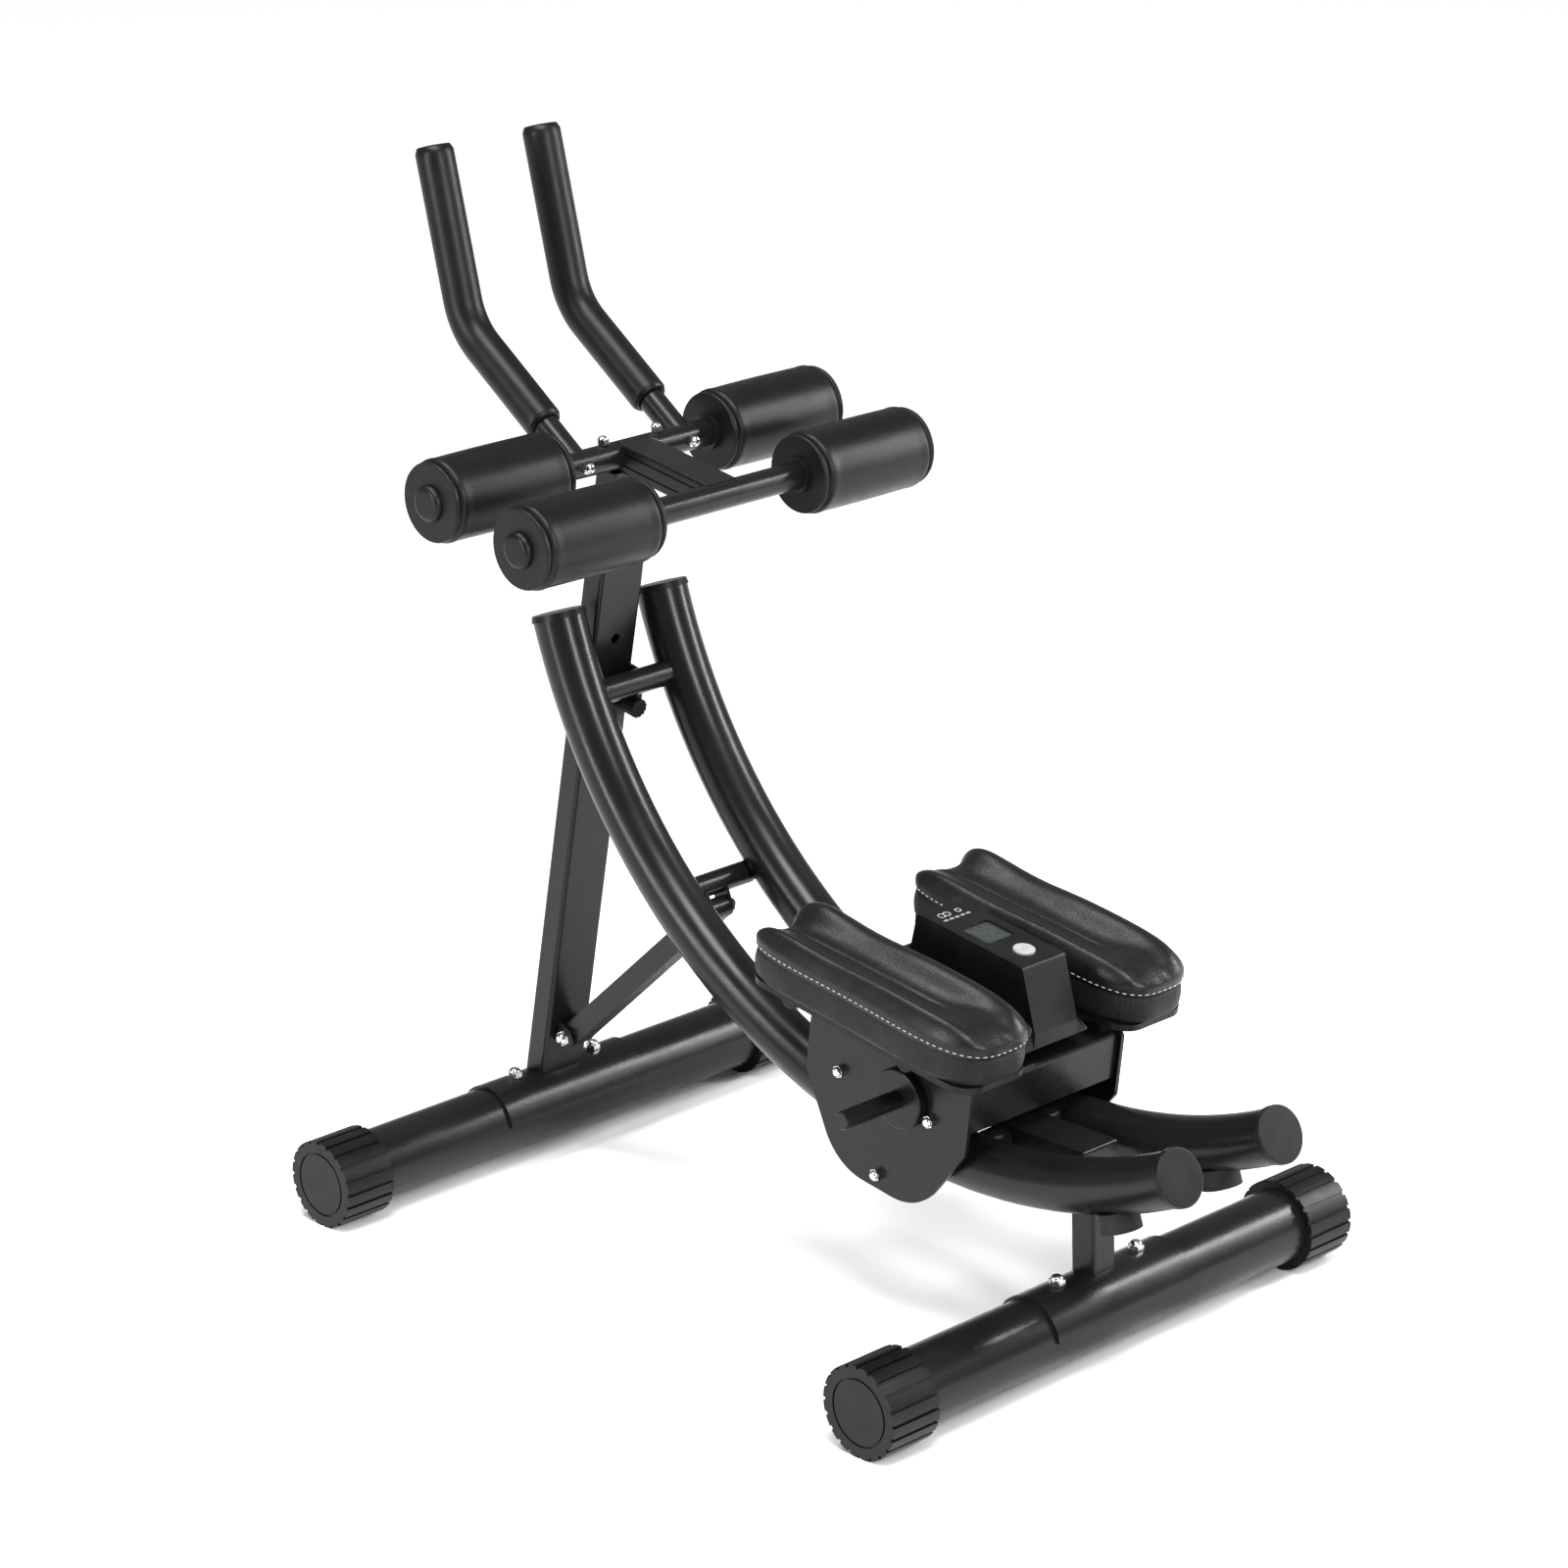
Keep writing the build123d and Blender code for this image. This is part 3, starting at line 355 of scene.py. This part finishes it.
# Bead of half-height round section carried along closed loops of points.
def makeLegend():
    around, sides, bead = legendSet["around"], legendSet["sides"], legendSet["bead"]
    turn = np.linspace(0, 2 * np.pi, around, endpoint=False)
    loops = [np.stack([x + r * np.cos(turn), y + r * np.sin(turn)], 1) for x, y, r in legendSet["rings"]]
    for x in legendSet["bars"]:
        loops.append(np.stack([x + legendSet["barX"] / 2 * np.cos(turn),
                               legendSet["barY"] + legendSet["barWidth"] / 2 * np.sin(turn)], 1))
    section = np.linspace(0, 2 * np.pi, sides, endpoint=False)[:, None]
    points, faces = [], []
    for number, loop in enumerate(loops):
        middle = loop.mean(axis=0)
        outward = (loop - middle) / np.linalg.norm(loop - middle, axis=1)[:, None]
        flat = loop[None] + bead * np.cos(section)[..., None] * outward[None]
        height = np.broadcast_to(legendSet["level"] + 0.4 * bead * np.sin(section), flat.shape[:2])
        grid = np.concatenate([flat, height[..., None]], axis=-1)
        points.append(np.concatenate([grid, grid[:1]]).reshape(-1, 3))
        faces += tubeFaces(sides + 1, around, number * (sides + 1) * around)
    legend = meshPiece("console_legend", tipped(np.concatenate(points)), faces, finishes["seamThread"])
    tidyMesh(legend)
    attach(legend, "seat")


# Merges the closing row and points all faces outward.
def tidyMesh(piece):
    work = bmesh.new()
    work.from_mesh(piece.data)
    bmesh.ops.remove_doubles(work, verts=work.verts, dist=1e-6)
    bmesh.ops.recalc_face_normals(work, faces=work.faces)
    work.to_mesh(piece.data)
    work.free()
    piece.data.update()


makeLegend()

# Foam sleeves: a profile of distance and radius turned about the bar, closed back through the bore.
rollerSet = {"inner": 0.1035, "outer": 0.2342, "radius": 0.039, "bore": 0.0168, "soft": 0.006, "around": 96}
barSet = {"rear": (0.27195, 0.7247), "front": (0.15135, 0.7034)}


def makeRoller(row, hand, side):
    y, z = barSet[row]
    low, high, radius, soft = rollerSet["inner"], rollerSet["outer"], rollerSet["radius"], rollerSet["soft"]
    turn = np.linspace(0, np.pi / 2, 9)
    start = np.stack([low + soft * (1 - np.sin(turn)), radius - soft + soft * np.cos(turn)], 1)[::-1]
    body = np.linspace(low + soft, high - soft, 26)[1:-1]
    share = (body - low) / (high - low)
    along = np.stack([body, radius - 0.0006 + 0.0006 * np.sin(np.pi * share)], 1)
    end = np.stack([high - soft * (1 - np.sin(turn)), radius - soft + soft * np.cos(turn)], 1)
    bore = np.array([[high, rollerSet["bore"]], [low, rollerSet["bore"]]])
    profile = np.concatenate([start, along, end, bore, start[:1]])
    angle = np.linspace(0, 2 * np.pi, rollerSet["around"], endpoint=False)
    grid = np.stack([side * np.broadcast_to(profile[:, :1], (len(profile), len(angle))),
                     y + profile[:, 1:] * np.cos(angle), z + profile[:, 1:] * np.sin(angle)], axis=-1)
    faces = tubeFaces(len(profile), len(angle))
    foam = meshPiece("foam_sleeve_" + row + "_" + hand, grid, faces, finishes["skinnedFoam"])
    tidyMesh(foam)
    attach(foam, "roller_" + row + "_" + hand)
    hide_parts("roller_foam_" + row + "_" + hand)


for row in barSet:
    makeRoller(row, "left", -1)
    makeRoller(row, "right", 1)
print("foam sleeves made")

# Handle grips: a round profile carried along the bent handle, closed over the top.
gripSet = {"lowY": 0.31395, "bend": (0.41845, 0.832), "top": (0.45525, 0.9974), "foot": barSet["rear"],
           "radius": 0.0182, "bore": 0.0129, "half": 0.0653, "bendRadius": 0.070, "around": 56}


# Straight, arc, straight: the corner is replaced by an arc that touches both runs.
def gripPath():
    foot, corner, top = (np.array(gripSet[k]) for k in ("foot", "bend", "top"))
    first = (corner - foot) / np.linalg.norm(corner - foot)
    second = (top - corner) / np.linalg.norm(top - corner)
    bendAngle = math.acos(float(first @ second))
    cut = gripSet["bendRadius"] * math.tan(bendAngle / 2)
    side = np.array([-first[1], first[0]])
    start = corner - first * cut
    centre = start + side * gripSet["bendRadius"]
    swing = np.linspace(0, bendAngle, 18)[:, None]
    arc = centre + gripSet["bendRadius"] * (np.sin(swing) * first - np.cos(swing) * side)
    lowRun = (gripSet["lowY"] - foot[0]) / first[0]
    startRun = float(np.linalg.norm(start - foot))
    lower = foot + first * np.linspace(lowRun, startRun, 30)[:, None]
    lift = top - (corner + second * cut)
    upper = corner + second * cut + lift * np.linspace(0, 1, 30)[:, None]
    return np.concatenate([lower[:-1], arc, upper[1:]])


def makeGrip(hand, side):
    path = gripPath()
    tangent = np.gradient(path, axis=0)
    tangent /= np.linalg.norm(tangent, axis=1)[:, None]
    run = np.concatenate([[0], np.cumsum(np.linalg.norm(np.diff(path, axis=0), axis=1))])
    left = run[-1] - run
    radius = gripSet["radius"] - 0.0022 * np.exp(-run / 0.0012) - 0.0025 * np.exp(-left / 0.0015)
    angle = np.linspace(0, 2 * np.pi, gripSet["around"], endpoint=False)
    normal = np.stack([-tangent[:, 1], tangent[:, 0]], axis=1)
    def ring(centre, across, size):
        return np.stack([side * gripSet["half"] + size[:, None] * np.cos(angle),
                         centre[:, :1] + size[:, None] * np.sin(angle) * across[:, :1],
                         centre[:, 1:] + size[:, None] * np.sin(angle) * across[:, 1:]], axis=-1)
    outside = ring(path, normal, radius)
    inside = ring(path[:6], normal[:6], np.full(6, gripSet["bore"]))[::-1]
    crownShare = np.array([0.8, 0.5, 0.2])
    crown = ring(np.repeat(path[-1:], 3, axis=0) + tangent[-1] * np.array([[0.0006], [0.001], [0.0012]]),
                 np.repeat(normal[-1:], 3, axis=0), gripSet["radius"] * crownShare)
    grid = np.concatenate([inside, outside, crown])
    rows, around = len(grid), len(angle)
    tip = path[-1] + tangent[-1] * 0.0013
    base = path[5]
    poles = np.array([[side * gripSet["half"], *base], [side * gripSet["half"], *tip]])
    faces = tubeFaces(rows, around) + poleFaces(0, around, rows * around, True)
    faces += poleFaces((rows - 1) * around, around, rows * around + 1, False)
    points = np.concatenate([grid.reshape(-1, 3), poles])
    grip = meshPiece("foam_grip_" + hand, points, faces, finishes["skinnedFoam"])
    tidyMesh(grip)
    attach(grip, "upright")
    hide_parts("grip_" + hand)


makeGrip("left", -1)
makeGrip("right", 1)
print("handle grips made")


# Places a lamp or the camera: its right, up and backward directions and where it stands.
def standing(right, up, back, place):
    return Matrix([[right[k], up[k], back[k], place[k]] for k in range(3)] + [[0, 0, 0, 1]])


# Floor, light and camera.
floorSet = {"size": 80.0, "tone": (0.86, 0.86, 0.86, 1)}
floorMesh = bpy.data.meshes.new("floor")
half = floorSet["size"] / 2
corners = [(-half, -half, 0), (half, -half, 0), (half, half, 0), (-half, half, 0)]
floorMesh.from_pydata(corners, [], [(0, 1, 2, 3)])
floor = bpy.data.objects.new("floor", floorMesh)
bpy.context.scene.collection.objects.link(floor)
floorFinish = bpy.data.materials.new("paleFloor")
floorFinish.use_nodes = True
floorShader = floorFinish.node_tree.nodes["Principled BSDF"]
floorShader.inputs["Base Color"].default_value = floorSet["tone"]
floorShader.inputs["Roughness"].default_value = 0.9
floorMesh.materials.append(floorFinish)

world = bpy.data.worlds.new("studio")
world.use_nodes = True
world.node_tree.nodes["Background"].inputs["Color"].default_value = (1, 1, 1, 1)
world.node_tree.nodes["Background"].inputs["Strength"].default_value = 0.3
bpy.context.scene.world = world

# Every panel faces the middle of the machine, at this height.
lampAim = 0.45
lampSet = {
    "keyPanel": {"place": (-0.6, -3.0, 1.9), "power": 75.0, "width": 0.4, "height": 1.4},
    "sidePanel": {"place": (2.6, -1.6, 1.6), "power": 110.0, "width": 0.28, "height": 2.2},
    "topPanel": {"place": (-0.4, 0.8, 3.0), "power": 40.0, "width": 0.9, "height": 0.9},
    "leftPanel": {"place": (-2.9, 0.6, 1.3), "power": 60.0, "width": 0.28, "height": 2.0},
}
sun = bpy.data.objects.new("softSun", bpy.data.lights.new("softSun", "SUN"))
sun.data.energy = 2.9
sun.data.angle = math.radians(24)
sun.rotation_euler = (math.radians(18), math.radians(-14), 0)
bpy.context.scene.collection.objects.link(sun)
for name, lamp in lampSet.items():
    light = bpy.data.lights.new(name, "AREA")
    light.shape = "RECTANGLE"
    light.size, light.size_y, light.energy = lamp["width"], lamp["height"], lamp["power"]
    panel = bpy.data.objects.new(name, light)
    away = np.array(lamp["place"]) - np.array([0, 0, lampAim])
    away /= np.linalg.norm(away)
    flat = np.cross([0, 0, 1], away)
    flat /= np.linalg.norm(flat)
    lift = np.cross(away, flat)
    panel.matrix_world = standing(flat, lift, away, lamp["place"])
    bpy.context.scene.collection.objects.link(panel)

# Camera from a bearing, a height angle, a distance and a small roll.
cameraSet = {"bearing": -43.2, "height": 18.3, "roll": -1.7, "distance": 4.439,
             "target": (0.0, 0.07835, 0.4443), "film": 36.0, "lens": 111.69}
a, e, r = (math.radians(cameraSet[k]) for k in ("bearing", "height", "roll"))
back = np.array([math.sin(a) * math.cos(e), -math.cos(a) * math.cos(e), math.sin(e)])
right = np.array([math.cos(a), math.sin(a), 0.0])
upright = np.cross(back, right)
turnedRight = math.cos(r) * right + math.sin(r) * upright
turnedUp = -math.sin(r) * right + math.cos(r) * upright
eye = np.array(cameraSet["target"]) + back * cameraSet["distance"]
lens = bpy.data.cameras.new("studioCamera")
lens.lens = cameraSet["lens"]
lens.sensor_width = cameraSet["film"]
camera = bpy.data.objects.new("studioCamera", lens)
camera.matrix_world = standing(turnedRight, turnedUp, back, eye)
bpy.context.scene.collection.objects.link(camera)
bpy.context.scene.camera = camera
bpy.context.scene.view_settings.view_transform = "Standard"
